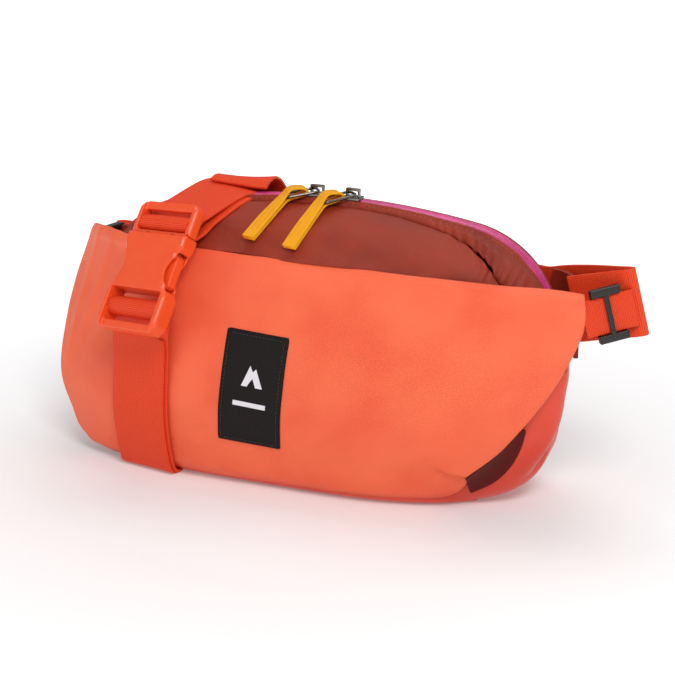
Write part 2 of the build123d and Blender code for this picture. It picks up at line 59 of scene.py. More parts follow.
def curve(rows):
    """Smooth function through rows (key, values...), giving the values at any key."""
    rows = np.array(rows, float)
    keys, vals = rows[:, 0], rows[:, 1:]
    slopes = np.gradient(vals, keys, axis=0)

    def at(key):
        key = np.clip(np.asarray(key, float), keys[0], keys[-1])
        i = np.clip(np.searchsorted(keys, key, side="right") - 1, 0, len(keys) - 2)
        h = (keys[i + 1] - keys[i])[..., None]
        t = (key - keys[i])[..., None] / h
        a, b, ma, mb = vals[i], vals[i + 1], slopes[i] * h, slopes[i + 1] * h
        out = a + t * ma + t * t * (3 * (b - a) - 2 * ma - mb) + t ** 3 * (2 * (a - b) + ma + mb)
        return out[..., 0] if out.shape[-1] == 1 else out

    return at


def along(points, step):
    """Points (with any extra columns) resampled evenly along their smooth line, and the distances."""
    points = np.array(points, float)
    chord = np.r_[0, np.cumsum(np.linalg.norm(np.diff(points[:, :3], axis=0), axis=1))]
    line = curve(np.column_stack([chord, points]))
    n = max(int(round(chord[-1] / step)), 2)
    keys = np.linspace(0, chord[-1], n + 1)
    return line(keys), keys


def unit(v):
    """Vectors of length one along the last axis."""
    return v / np.maximum(np.linalg.norm(v, axis=-1, keepdims=True), 1e-9)


def bump(x, centre, width):
    """Bell of height one."""
    return np.exp(-((x - centre) / width) ** 2)


def ramp(x, low, high):
    """Smooth step from 0 at low to 1 at high."""
    t = np.clip((x - low) / (high - low), 0, 1)
    return t * t * (3 - 2 * t)


def ripple(a, b, wave, seed):
    """Soft uneven waves between -1 and 1 over the surface's two lengths."""
    rng = np.random.RandomState(seed)
    total = 0.0
    for _ in range(5):
        angle, phase = rng.uniform(0, math.pi), rng.uniform(0, 2 * math.pi)
        size = wave * rng.uniform(0.7, 1.5)
        total = total + np.sin(2 * math.pi * (a * math.cos(angle) + b * math.sin(angle)) / size + phase)
    return total / 5


# ---------------------------------------------------------------- meshes

def smooth_faces(mesh, on=True):
    mesh.polygons.foreach_set("use_smooth", [on] * len(mesh.polygons))


def make(name, verts, faces, material, body, uv=None, slot=None, replaces=()):
    """Mesh object from millimetres, riding on a body unless that is None."""
    mesh = bpy.data.meshes.new(name)
    mesh.from_pydata((np.asarray(verts) * MM).tolist(), [], [tuple(map(int, f)) for f in faces])
    mesh.update()
    if uv is not None:
        layer = mesh.uv_layers.new(name="cloth")
        corner = np.empty(len(mesh.loops), np.int64)
        mesh.loops.foreach_get("vertex_index", corner)
        layer.data.foreach_set("uv", np.asarray(uv, float)[corner].ravel())
    smooth_faces(mesh)
    obj = bpy.data.objects.new(name, mesh)
    bpy.context.scene.collection.objects.link(obj)
    mesh.materials.append(material)
    if body is not None:
        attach(obj, body)
    if replaces:
        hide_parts(*replaces)
    return obj


def grid_normals(grid):
    du = np.gradient(grid, axis=1)
    dv = np.gradient(grid, axis=0)
    return unit(np.cross(du, dv))


def grid_uv(grid):
    """Lengths along the cloth's columns and rows, so a weave keeps its real size."""
    du = np.linalg.norm(np.diff(grid, axis=1), axis=2).mean(axis=0)
    dv = np.linalg.norm(np.diff(grid, axis=0), axis=2).mean(axis=1)
    u, v = np.r_[0, np.cumsum(du)], np.r_[0, np.cumsum(dv)]
    return np.stack(np.meshgrid(u, v), axis=-1)


def shell(grid, thickness):
    """A closed sheet of cloth behind a grid of surface points, with a rounded edge."""
    rows, cols = grid.shape[:2]
    count = rows * cols
    back = grid - grid_normals(grid) * thickness
    index = np.arange(count).reshape(rows, cols)
    far = index + count
    faces = np.concatenate([
        np.stack([index[:-1, :-1], index[:-1, 1:], index[1:, 1:], index[1:, :-1]], -1).reshape(-1, 4),
        np.stack([far[:-1, :-1], far[1:, :-1], far[1:, 1:], far[:-1, 1:]], -1).reshape(-1, 4),
    ])
    ring = np.concatenate([index[0, :-1], index[:-1, -1], index[-1, :0:-1], index[:0:-1, 0]])
    inner = np.concatenate([index[1, :-1], index[:-1, -2], index[-2, :0:-1], index[:0:-1, 1]])
    flat, flat_back = grid.reshape(-1, 3), back.reshape(-1, 3)
    outward = unit(flat[ring] - flat[inner])
    middle = (flat[ring] + flat_back[ring]) / 2 + outward * thickness * 0.5
    rim = np.arange(len(ring)) + 2 * count
    next_ring, next_rim = np.roll(ring, -1), np.roll(rim, -1)
    edge = [
        np.stack([ring, rim, next_rim, next_ring], -1),
        np.stack([rim, ring + count, next_ring + count, next_rim], -1),
    ]
    verts = np.concatenate([flat, flat_back, middle])
    uv = grid_uv(grid).reshape(-1, 2)
    return verts, np.concatenate([faces, *edge]), np.concatenate([uv, uv, uv[ring]])


def sheet(name, grid, thickness, material, slot, replaces=()):
    """Cloth of the bag's own body, with the grid as its outer face."""
    verts, faces, uv = shell(grid, thickness)
    make(name, verts, faces, material, "pack", uv=uv, slot=slot, replaces=replaces)


def strap(name, points, width, thickness, material, body, step=1.6, crown=0.0, edge=0.6, **kw):
    """Flat webbing along points (x, y, z, and the direction across it), with rounded edges."""
    line, lengths = along(points, step)
    centre, across = line[:, :3], line[:, 3:6]
    tangent = unit(np.gradient(centre, axis=0))
    across = unit(across - tangent * (across * tangent).sum(axis=1, keepdims=True))
    normal = np.cross(across, tangent)
    half, t = width / 2, thickness / 2
    spread = np.linspace(-half + edge, half - edge, 11)
    arc = crown * (1 - (spread / half) ** 2)
    top, low = list(zip(spread, t + arc)), list(zip(spread, arc - t))[::-1]
    section = top + [(half - edge / 4, t * 0.8), (half, 0), (half - edge / 4, -t * 0.8)]
    section += low + [(-half + edge / 4, -t * 0.8), (-half, 0), (-half + edge / 4, t * 0.8)]
    section = np.array(section)
    n = len(section)
    verts = centre[:, None] + across[:, None] * section[None, :, :1] + normal[:, None] * section[None, :, 1:]
    uv = np.stack(np.broadcast_arrays(section[None, :, 0], lengths[:, None]), -1)
    index = np.arange(len(centre) * n).reshape(len(centre), n)
    right = np.roll(index, -1, axis=1)
    faces = np.stack([index[:-1], index[1:], right[1:], right[:-1]], -1).reshape(-1, 4).tolist()
    faces += [index[0].tolist(), index[-1][::-1].tolist()]
    return make(name, verts.reshape(-1, 3), faces, material, body, uv=uv.reshape(-1, 2), **kw)


STITCH = ((0.0, 0.25, -0.16), (0.2, 0.9, 0.04), (0.5, 1.0, 0.10), (0.8, 0.9, 0.04), (1.0, 0.25, -0.16))
SIDES = 6                           # corners of a thread's section


def stitches(name, points, normals, material, body, length, pitch, thread, **kw):
    """A row of threads laid along points, each shaped by STITCH (place along it, share of radius, lift)."""
    line, keys = along(np.column_stack([points, normals]), 0.4)
    radius = thread / 2
    verts, faces = [], []
    for start in np.arange(pitch / 2, keys[-1] - length, pitch):
        k = np.clip(np.searchsorted(keys, [start, start + length]), 0, len(keys) - 1)
        a, b = line[k[0]], line[k[1]]
        run = b[:3] - a[:3]
        up = unit((a[3:] + b[3:]) / 2)
        side = unit(np.cross(up, run))
        base = len(verts)
        for place, share, lift in STITCH:
            for j in range(SIDES):
                w = 2 * math.pi * j / SIDES
                off = side * math.cos(w) * radius * share + up * (math.sin(w) * radius * share + lift)
                verts.append(a[:3] + run * place + off)
        for i in range(len(STITCH) - 1):
            for j in range(SIDES):
                p, q = base + i * SIDES + j, base + i * SIDES + (j + 1) % SIDES
                faces.append((p, q, q + SIDES, p + SIDES))
        last = base + (len(STITCH) - 1) * SIDES
        faces.append([base + j for j in range(SIDES - 1, -1, -1)])
        faces.append([last + j for j in range(SIDES)])
    return make(name, verts, faces, material, body, **kw)


# ---------------------------------------------------------------- materials

def srgb(r, g, b):
    """Screen colour, 0 to 255, as the linear colour that shaders take."""
    return tuple((c / 255 / 12.92 if c <= 10.31 else ((c / 255 + 0.055) / 1.055) ** 2.4) for c in (r, g, b))


class Paint:
    """Node-building help for one material."""

    def __init__(self, name, colour, roughness, **sockets):
        self.material = bpy.data.materials.new(name)
        self.material.use_nodes = True
        self.tree = self.material.node_tree
        self.shader = self.tree.nodes["Principled BSDF"]
        self.shader.inputs["Base Color"].default_value = (*colour, 1)
        self.shader.inputs["Roughness"].default_value = roughness
        for key, value in sockets.items():
            self.shader.inputs[key.replace("_", " ")].default_value = value
        self.last_relief = None

    def node(self, kind, **values):
        node = self.tree.nodes.new("ShaderNode" + kind)
        for key, value in values.items():
            if hasattr(node, key):
                setattr(node, key, value)
            else:
                node.inputs[key].default_value = value
        return node

    def link(self, a, b):
        self.tree.links.new(a, b)

    def coords(self, source, turn=0.0):
        """Place on the cloth in mm ("uv") or in the object in metres ("object"), turned by an angle."""
        tex = self.node("TexCoord")
        mapping = self.node("Mapping")
        mapping.inputs["Rotation"].default_value = (0, 0, turn)
        self.link(tex.outputs["UV" if source == "uv" else "Object"], mapping.inputs["Vector"])
        return mapping.outputs["Vector"]

    def waves(self, turn, period):
        """Even ridges, one per period in mm of cloth; a wave texture repeats every pi / (10 scale)."""
        wave = self.node("TexWave", Scale=math.pi / 10 / period)
        wave.inputs["Distortion"].default_value = 0.0
        self.link(self.coords("uv", turn=turn), wave.inputs["Vector"])
        return wave.outputs["Fac"]

    def noise(self, source, size, detail=3.0):
        tex = self.node("TexNoise", Scale=1.0 / size, Detail=detail)
        self.link(self.coords(source), tex.inputs["Vector"])
        return tex.outputs["Fac"]

    def math(self, operation, a, b):
        node = self.node("Math", operation=operation)
        for socket, value in zip(node.inputs, (a, b)):
            if isinstance(value, (int, float)):
                socket.default_value = value
            else:
                self.link(value, socket)
        return node.outputs[0]

    def spread(self, value, low, high, out_low=0.0, out_high=1.0):
        """Value between low and high, taken to the range between out_low and out_high."""
        node = self.node("MapRange")
        self.link(value, node.inputs["Value"])
        for key, number in zip(("From Min", "From Max", "To Min", "To Max"), (low, high, out_low, out_high)):
            node.inputs[key].default_value = number
        return node.outputs["Result"]

    def mix(self, factor, a, b):
        node = self.node("Mix", data_type="RGBA")
        for socket, value in ((node.inputs[6], a), (node.inputs[7], b)):
            if isinstance(value, tuple):
                socket.default_value = (*value, 1)
            else:
                self.link(value, socket)
        self.link(factor, node.inputs[0])
        return node.outputs[2]

    def colour(self, socket):
        self.link(socket, self.shader.inputs["Base Color"])

    def relief(self, height, depth_mm):
        """Adds relief to the surface; several calls stack."""
        node = self.node("Bump", Strength=1.0, Distance=depth_mm * MM)
        self.link(height, node.inputs["Height"])
        if self.last_relief:
            self.link(self.last_relief.outputs["Normal"], node.inputs["Normal"])
        self.last_relief = node
        self.link(node.outputs["Normal"], self.shader.inputs["Normal"])

    def rough(self, value, low, high):
        """Roughness that wanders between low and high with a noise."""
        self.link(self.spread(value, 0.3, 0.7, low, high), self.shader.inputs["Roughness"])


def twill(name, base, light, dark, period=1.1, rough=(0.42, 0.52), fine=0.12, **sockets):
    """Woven cloth with diagonal ribs, soft clouds of colour and a little wear."""
    p = Paint(name, base, rough[0], **sockets)
    turn = 0.66
    ribs = p.waves(turn, period)
    cross = p.waves(turn + math.pi / 2, period * 0.8)
    cloud = p.noise("uv", 45.0, 2.0)
    grain = p.noise("uv", 0.9, 4.0)
    body = p.mix(p.spread(cloud, 0.35, 0.68), dark, light)
    body = p.mix(p.spread(cloud, 0.2, 0.8, 0.35, 0.75), body, base)
    thread = p.math("MULTIPLY", ribs, p.spread(grain, 0.2, 0.8, 0.5, 1.0))
    p.colour(p.mix(p.spread(thread, 0.0, 1.0, 0.0, 0.42), body, light))
    p.relief(p.math("ADD", p.math("MULTIPLY", ribs, 0.7), p.math("MULTIPLY", cross, 0.3)), fine)
    p.relief(p.noise("uv", 7.0, 3.0), 0.25)
    p.rough(cloud, *rough)
    return p.material


def webbing(name, base, light, dark, rib, column, **sockets):
    """Flat woven belt: short ribs across it, broken into columns."""
    p = Paint(name, base, 0.55, **sockets)
    ribs = p.waves(math.pi / 2, rib)
    columns = p.waves(0.0, column)
    grain = p.noise("uv", 0.7, 3.0)
    weave = p.math("MULTIPLY", ribs, p.spread(columns, 0.0, 1.0, 0.45, 1.0))
    shade = p.mix(p.spread(weave, 0.05, 0.9), dark, base)
    p.colour(p.mix(p.spread(p.math("MULTIPLY", weave, grain), 0.25, 0.7, 0.0, 0.6), shade, light))
    p.relief(weave, 0.16)
    p.relief(p.noise("uv", 9.0, 2.0), 0.3)
    return p.material


def moulded(name, base, light, rough, grain_depth=0.03, **sockets):
    """Moulded plastic with a fine skin."""
    p = Paint(name, base, rough, **sockets)
    cloud = p.noise("object", 0.012, 3.0)
    p.colour(p.mix(p.spread(cloud, 0.3, 0.75, 0.0, 0.5), base, light))
    p.rough(p.noise("object", 0.004, 3.0), rough - 0.05, rough + 0.07)
    p.relief(p.noise("object", 0.0005, 2.0), grain_depth)
    return p.material


coral = twill("coral_twill", srgb(248, 101, 64), srgb(255, 126, 84), srgb(236, 84, 52),
              Specular_IOR_Level=0.3)
rust = twill("rust_twill", srgb(149, 46, 26), srgb(174, 62, 35), srgb(112, 29, 17),
             rough=(0.46, 0.6), period=0.9, Specular_IOR_Level=0.3)
dark_rust = twill("dark_rust", srgb(94, 15, 8), srgb(110, 22, 12), srgb(70, 10, 6),
                  rough=(0.5, 0.65), Specular_IOR_Level=0.16)
coated = twill("coated_coral", srgb(226, 66, 42), srgb(236, 86, 58), srgb(200, 48, 30),
               rough=(0.3, 0.42), fine=0.03, Specular_IOR_Level=0.36, Coat_Weight=0.1, Coat_Roughness=0.24)
lining = twill("lining", srgb(150, 148, 150), srgb(170, 168, 170), srgb(128, 126, 128), rough=(0.6, 0.7))
belt = webbing("belt_webbing", srgb(250, 88, 38), srgb(255, 122, 62), srgb(222, 48, 20),
               rib=0.85, column=1.2, Specular_IOR_Level=0.25)
narrow = webbing("narrow_webbing", srgb(246, 86, 40), srgb(255, 118, 62), srgb(218, 46, 20),
                 rib=0.85, column=1.1, Specular_IOR_Level=0.25)
yellow = webbing("tab_webbing", srgb(255, 188, 12), srgb(255, 212, 64), srgb(244, 156, 0),
                 rib=0.8, column=1.2, Specular_IOR_Level=0.25)
patch = webbing("label_patch", srgb(26, 22, 21), srgb(40, 36, 34), srgb(18, 15, 14),
                rib=0.7, column=0.7, Specular_IOR_Level=0.2)
plastic = moulded("buckle_plastic", srgb(242, 80, 30), srgb(248, 92, 42), 0.34, Specular_IOR_Level=0.5)
black = moulded("black_plastic", srgb(26, 24, 23), srgb(40, 37, 35), 0.34)
nickel = moulded("black_nickel", srgb(112, 106, 102), srgb(146, 138, 132), 0.2,
                 grain_depth=0.01, Metallic=1.0)
thread_rust = moulded("rust_thread", srgb(186, 80, 54), srgb(206, 100, 72), 0.6)
thread_yellow = moulded("yellow_thread", srgb(236, 148, 12), srgb(255, 196, 80), 0.6)
thread_black = moulded("black_thread", srgb(54, 50, 48), srgb(80, 75, 71), 0.6)
mark = moulded("label_mark", srgb(228, 224, 230), srgb(240, 238, 242), 0.6)


def mesh_paint():
    """Open spacer mesh of the padded back, with painted shade in its holes."""
    p = Paint("back_mesh", srgb(104, 34, 24), 0.75, Specular_IOR_Level=0.2)
    holes = p.node("TexVoronoi", Scale=420.0, Randomness=0.25)
    p.link(p.coords("object"), holes.inputs["Vector"])
    hole_depth_and_shade = p.spread(holes.outputs["Distance"], 0.1, 0.55)
    # the holes are painted darker towards their middles: painted shade in the hollows of the mesh; the same
    # value sinks them as relief
    p.colour(p.mix(hole_depth_and_shade, srgb(58, 16, 12), srgb(134, 48, 34)))
    p.relief(hole_depth_and_shade, 0.5)
    p.relief(p.noise("object", 0.012, 3.0), 0.4)
    return p.material


def zip_paint():
    """Magenta zip: coated tape with fine teeth along it."""
    p = Paint("zip_magenta", srgb(206, 30, 118), 0.34, Coat_Weight=0.3, Coat_Roughness=0.25)
    teeth = p.waves(0.0, 1.1)
    cloud = p.noise("uv", 14.0, 2.0)
    base = p.mix(p.spread(cloud, 0.3, 0.7), srgb(190, 18, 102), srgb(218, 44, 132))
    p.colour(p.mix(p.spread(teeth, 0.0, 1.0, 0.0, 0.2), base, srgb(236, 120, 178)))
    p.relief(teeth, 0.12)
    return p.material


mesh_back, magenta = mesh_paint(), zip_paint()


# ---------------------------------------------------------------- camera, light and floor

def aim(obj, target):
    obj.rotation_euler = (Vector(target) - obj.location).to_track_quat("-Z", "Y").to_euler()


def place_camera():
    azimuth, elevation, distance = math.radians(22.5), math.radians(17.5), 0.905
    target = Vector((0.016, 0.0, 0.082))
    level_part = math.cos(elevation)
    away = Vector((math.sin(azimuth) * level_part, -math.cos(azimuth) * level_part, math.sin(elevation)))
    data = bpy.data.cameras.new("camera")
    data.lens, data.sensor_width = 85.0, 36.0
    camera = bpy.data.objects.new("camera", data)
    camera.location = target + away * distance
    aim(camera, target)
    bpy.context.scene.collection.objects.link(camera)
    bpy.context.scene.camera = camera


def place_light(name, location, size, power):
    """Soft box aimed at the middle of the bag."""
    data = bpy.data.lights.new(name, "AREA")
    data.shape, data.energy = "RECTANGLE", power
    data.size, data.size_y = size
    lamp = bpy.data.objects.new(name, data)
    lamp.location = location
    aim(lamp, (0, 0, 0.07))
    bpy.context.scene.collection.objects.link(lamp)


def place_floor():
    """Pale floor that glows more the farther it is from the bag, so it ends in white."""
    p = Paint("floor", (0.86, 0.86, 0.86), 0.9, Emission_Color=(1, 1, 1, 1))
    p.rough(p.noise("object", 0.3, 2.0), 0.85, 0.95)
    near = p.node("TexGradient", gradient_type="SPHERICAL")
    p.link(p.coords("object"), near.inputs["Vector"])
    p.link(p.spread(near.outputs["Fac"], 0.0, 0.85, 0.95, 0.14), p.shader.inputs["Emission Strength"])
    size = 14000
    corners = [(-size, -size, 0), (size, -size, 0), (size, size, 0), (-size, size, 0)]
    floor = make("floor", corners, [(0, 1, 2, 3)], p.material, None)


place_camera()
place_floor()
place_light("key", (0.6, -0.85, 1.15), (0.6, 0.5), 10.2)
place_light("fill", (-1.1, -0.9, 0.6), (1.0, 0.9), 2.0)
place_light("top", (0.0, 0.45, 1.2), (1.0, 0.6), 4.5)
world = bpy.data.worlds.new("studio")
world.use_nodes = True
world.node_tree.nodes["Background"].inputs["Color"].default_value = (1, 1, 1, 1)
world.node_tree.nodes["Background"].inputs["Strength"].default_value = 0.34
bpy.context.scene.world = world
bpy.context.scene.view_settings.view_transform = "Standard"


# ---------------------------------------------------------------- front panel with its two wings

REACH, POWER = 160.0, 3.2           # half the panel's width, and how late its wings sweep back
FRONT_LOW, FRONT_TOP = 4.5, 132.0
front_table = curve([               # z, y at the middle, sweep of the right wing, sweep of the left wing
    (-4, -38.0, 106, 25), (8, -42.6, 78, 26), (20, -46.0, 58, 28), (45, -49.0, 39, 31), (80, -42.0, 33, 40),
    (108, -33.5, 22, 49), (134, -29.5, 15, 61),
])
# z and the x where the panel's right and left edges lie
right_limit = curve([(4, 68), (6, 84), (9, 94), (12, 99), (15, 102), (19, 104), (23.4, 105), (24, 105.6),
                     (37.8, 121), (51.5, 132), (69, 144), (89, 154), (107, 160), (120, 161), (134, 160)])
left_limit = curve([(4, -112), (6, -124), (12, -136), (27, -147), (45, -156), (62, -159), (90, -160),
                    (134, -158)])
# x and the z of the top hem, then x and the z of the pleat at the lower right
top_edge = curve([(-160, 126), (-143, 130), (-100, 132), (0, 132), (67, 130.5), (120, 129), (147, 128),
                  (161, 126)])
crease_line = curve([(80, 31), (88, 29), (97, 25.5), (106, 23.4), (120, 21)])


def front_y(x, z):
    """Depth of the plain panel."""
    table = front_table(z)
    middle, right, left = table[..., 0], table[..., 1], table[..., 2]
    return middle + np.where(x > 0, right, left) * np.abs(x / REACH) ** POWER


def front_detail(x, z):
    """How far the stuffed cloth stands proud (negative) or sinks (positive) from the plain surface."""
    d = 1.2 * ripple(x, z, 90, 3) + 0.35 * ripple(x, z, 30, 8)
    # the belt presses a channel into the panel
    d += 2.0 * bump(x, -88, 17) * ramp(z, 0, 30) * (1 - ramp(z, 70, 110))
    d -= 1.6 * bump(x, -60, 15) * ramp(z, 0, 20) * (1 - ramp(z, 60, 110))
    # pleat at the lower right and the swelling above it
    over = z - crease_line(x)
    grow = ramp(x, 84, 104)
    upper = ramp(over, -1.3, 1.3)
    d -= 3.6 * grow * upper * np.exp(-np.clip(over, 0, None) / 14)
    d += 1.6 * grow * (1 - upper) * np.exp(np.clip(over, None, 0) / 5)
    d += 2.2 * bump(x, 101, 10) * bump(z, 55, 13)
    d -= 1.6 * bump(x, 84, 12) * bump(z, 48, 16)
    d -= 1.2 * bump(x, 122, 10) * bump(z, 66, 20)
    # soft creases down the left wing
    d -= 1.1 * bump(x, -149 + 0.1 * (z - 80), 2.6) * ramp(z, 36, 60)
    d -= 0.9 * bump(x, -139 + 0.26 * (z - 80), 3.0) * ramp(z, 60, 90)
    d += 0.8 * bump(x, -134 + 0.2 * (z - 80), 3.4) * ramp(z, 50, 80)
    return d


def front_surface(x, z):
    return front_y(x, z) + front_detail(x, z)


def front_grid():
    z_rows = np.concatenate([np.arange(FRONT_LOW, 18, 1.0), np.arange(18, 34, 0.8), np.arange(34, 120, 1.6),
                             np.arange(120, FRONT_TOP + 0.01, 1.0)])
    x = np.linspace(left_limit(z_rows), right_limit(z_rows), 220, axis=1)
    z = np.broadcast_to(z_rows[:, None], x.shape)
    y = front_surface(x, z)
    # the bottom edge starts to turn under, the top hem rolls back a little
    y += 2.4 * (1 - ramp(z, FRONT_LOW, 11)) ** 2 + 1.5 * ramp(z, 128.5, FRONT_TOP) ** 2
    y -= 0.5 * bump(z, 127.4, 1.8) * ramp(np.abs(x + 88), 18, 26)
    lift = (top_edge(x) - FRONT_TOP) * ramp(z, 95, FRONT_TOP)
    return np.stack([x, y, z + lift], -1)


def bottom_edge():
    """Coated cloth that shows under the front panel and turns under the bag."""
    x = np.linspace(-112, 104, 150)
    rows = []
    for a in np.linspace(0, 1, 12):
        turn = a * math.pi / 2
        y = front_y(x, np.full_like(x, 7.0)) + 2.0 + 9.0 * (1 - math.cos(turn))
        y += 14.0 * ramp(-x, 95, 120) + 3.0 * ramp(x, 80, 112)
        rows.append(np.stack([x, y, np.full_like(x, 9.4 - 9.0 * math.sin(turn))], -1))
    far = rows[-1] + (0, 7, 0.1)
    grid = np.array([far] + rows[::-1])
    sheet("bottom_edge", grid, 1.0, coated, "coated_fabric")


sheet("wing_panel", front_grid(), HEM, coral, "wing_fabric", replaces=("front_wing_panel",))
bottom_edge()


LABEL_X, LABEL_Z, LABEL_TURN = -16.5, 61.0, 0.045
LABEL_WIDTH, LABEL_HEIGHT = 37, 62


def label_point(s, t, lift):
    """Place s across and t up the label, which leans a little on the front panel."""
    x = LABEL_X + s * math.cos(LABEL_TURN) + t * math.sin(LABEL_TURN)
    z = LABEL_Z - s * math.sin(LABEL_TURN) + t * math.cos(LABEL_TURN)
    return np.stack([x, front_surface(x, z) - lift, z], -1)


def label_mark():
    """A plain sign: a peak over a bar."""
    peak = [(-6, 2), (-1.5, 13.5), (0.4, 10.2), (2.2, 12.2), (7, 2), (2.8, 2), (0.6, 6.8), (-1.2, 4.2),
            (-2.4, 2)]
    bar = [(-10, -9.2), (10, -9.2), (10, -6.6), (-10, -6.6)]
    for name, outline in (("label_peak", peak), ("label_bar", bar)):
        flat = np.array(outline, float)
        face = label_point(flat[:, 0], flat[:, 1], 1.25)
        back = label_point(flat[:, 0], flat[:, 1], 0.9)
        n = len(outline)
        faces = [list(range(n)), list(range(2 * n - 1, n - 1, -1))]
        faces += [(i, i + n, (i + 1) % n + n, (i + 1) % n) for i in range(n)]
        obj = make(name, np.concatenate([face, back]), faces, mark, "pack", slot="label_rubber")
        smooth_faces(obj.data, False)


def label_patch():
    """Woven patch, stitched on all four sides."""
    w, h = LABEL_WIDTH / 2, LABEL_HEIGHT / 2
    s, t = np.meshgrid(np.linspace(-w, w, LABEL_WIDTH + 1), np.linspace(-h, h, LABEL_HEIGHT + 1))
    sheet("label_patch", label_point(s, t, 1.0), 1.3, patch, "label_rubber", replaces=("label",))
    w, h, count = w - 1.6, h - 1.6, 40
    sides = {"left": ((-w, -h), (-w, h)), "right": ((w, h), (w, -h)),
             "top": ((-w, h), (w, h)), "low": ((w, -h), (-w, -h))}
    for name, (a, b) in sides.items():
        points = label_point(*np.linspace(a, b, count).T, 1.15)
        stitches(f"label_stitch_{name}", points, np.tile((0.0, -1.0, 0.1), (count, 1)), thread_black, "pack",
                 length=1.5, pitch=2.1, thread=0.36, slot="label_rubber")
    label_mark()


label_patch()


# ---------------------------------------------------------------- stuffed body

def arch(left, right, height, corner, bottom, counts=(14, 70, 150, 70, 14), crown=480.0):
    """Points (x, z) of the bag's outline from its left foot over the crown to its right foot."""
    centre = height - crown

    def corner_circle(width):
        """Centre of the corner's arc, and the angle where it meets the crown's arc."""
        cx = width - corner
        return cx, centre + math.sqrt((crown - corner) ** 2 - cx ** 2), math.asin(cx / (crown - corner))

    (lx, lz, lt), (rx, rz, rt) = corner_circle(left), corner_circle(right)
    a, b, c, d, e = counts
    up = np.linspace(bottom, max(lz, bottom + 1), a, endpoint=False)
    down = np.linspace(max(rz, bottom + 1), bottom, e)
    t1 = np.linspace(math.pi / 2, lt, b, endpoint=False)
    t2 = np.linspace(-lt, rt, c, endpoint=False)
    t3 = np.linspace(rt, math.pi / 2, d, endpoint=False)
    return np.concatenate([
        np.column_stack([np.full(a, -left), up]),
        np.column_stack([-(lx + corner * np.sin(t1)), lz + corner * np.cos(t1)]),
        np.column_stack([crown * np.sin(t2), centre + crown * np.cos(t2)]),
        np.column_stack([rx + corner * np.sin(t3), rz + corner * np.cos(t3)]),
        np.column_stack([np.full(e, right), down]),
    ])


over_table = curve([                # y, left, right, height, corner radius, foot height
    (-30, 74, 94, 131.5, 40, 80), (-26.5, 82, 104, 134.2, 44, 80), (-12, 118, 142, 144.0, 52, 80),
    (1, 140, 148, 152.0, 60, 80), (12.5, 139, 139, 158.0, 60, 80), (23.5, 139, 139, 158.0, 60, 80),
    (38.5, 128, 128, 149.2, 60, 80), (43, 126.5, 126.5, 147.0, 60, 80),
])

# outlines of the bag's top at even depths, and the one whose x stands for its columns
OVER_STEP = 0.5
OVER_DEPTHS = np.arange(-32, 44, OVER_STEP)
OVER = np.array([arch(*over_table(y)) for y in OVER_DEPTHS])
OVER_X = OVER[64, :, 0]


def over_points(y):
    """Points of the bag's top for depths given per row and per column of the arch."""
    at = np.clip((y - OVER_DEPTHS[0]) / OVER_STEP, 0, len(OVER_DEPTHS) - 1.001)
    low = at.astype(int)
    part = (at - low)[..., None]
    column = np.broadcast_to(np.arange(y.shape[1]), y.shape)
    flat = OVER[low, column] * (1 - part) + OVER[low + 1, column] * part
    return np.stack([flat[..., 0], y, flat[..., 1]], -1)


def strip_between(front, rear, steps):
    """Cloth between two edges, each a function of x, with the length along it and the share across it."""
    t = np.asarray(steps, float)[:, None]
    grid = over_points(front(OVER_X)[None] * (1 - t) + rear(OVER_X)[None] * t)
    run = np.linalg.norm(np.diff(grid, axis=1), axis=2)
    length = np.concatenate([np.zeros((len(grid), 1)), np.cumsum(run, axis=1)], axis=1)
    return grid, length, np.broadcast_to(t, length.shape)


def level(value):
    """An edge at one depth."""
    return lambda x: np.full_like(x, value)


def beside(edge, gap):
    """An edge that keeps a gap from another."""
    return lambda x: edge(x) + gap


# edges of the cloth over the bag's top: x and depth y
seam_edge = curve([(-150, 2), (-110, 5), (-80, 8), (0, 9), (50, 8.2), (75, 5.5), (87, 2.8), (97, -1.5),
                   (104, -6.5), (112, -11.5), (122, -14), (150, -15)])
upper_front = curve([(-150, -25.5), (-70, -26.0), (-40, -27.8), (0, -28.7), (40, -28.2), (70, -26.8),
                     (92, -25.6), (150, -25.5)])
zip_front = curve([(-150, 12.6), (100, 13.4), (115, 12.6), (128, 10.6), (150, 9.8)])
zip_rear = curve([(-150, 22.6), (100, 22.6), (150, 22.8)])


def pushed(grid, amount):
    """The grid moved outwards, point by point."""
    return grid + grid_normals(grid) * amount[..., None]


def upper_panel():
    """Puffy cloth above the front panel, puckered along its seam."""
    grid, length, t = strip_between(upper_front, seam_edge, np.linspace(0, 1, 44))
    x, y = grid[..., 0], grid[..., 1]
    back = seam_edge(x) - y
    puff = 2.6 * ramp(y, -25, -13) * np.sin(np.pi * np.clip(t, 0, 1)) ** 0.7 - 1.2 * np.exp(-back / 1.1)
    puff += 0.8 * ripple(length, y * 2.0, 60, 5) * (1 - np.exp(-back / 8))
    puff += 0.3 * ripple(length, y * 2.5, 22, 6)
    # small puckers run down from the seam
    pucker = ripple(length, y * 0.3, 11, 9)
    puff += (0.3 + 1.0 * ramp(x, 60, 104)) * pucker * np.exp(-back / 7) * ramp(y, -25, -18)
    # upright seam near the right corner
    puff -= 0.7 * bump(x - 0.16 * y, 109.5, 0.9) * (y < seam_edge(x) - 1)
    sheet("upper_panel", pushed(grid, puff), 1.2, rust, "upper_fabric", replaces=("front_upper_panel",))
    points = over_points(np.tile(np.linspace(-24, -13, 15)[:, None], OVER_X.shape))
    column = np.abs(points[:, :, 0] - 111.6 - 0.16 * points[:, :, 1]).argmin(axis=1)
    row = np.arange(len(points))
    line, normals = points[row, column], grid_normals(points)[row, column]
    stitches("upright_stitches", line + normals * 1.2, normals, thread_rust, "pack", length=1.6, pitch=2.4,
             thread=0.36, slot="upper_fabric")


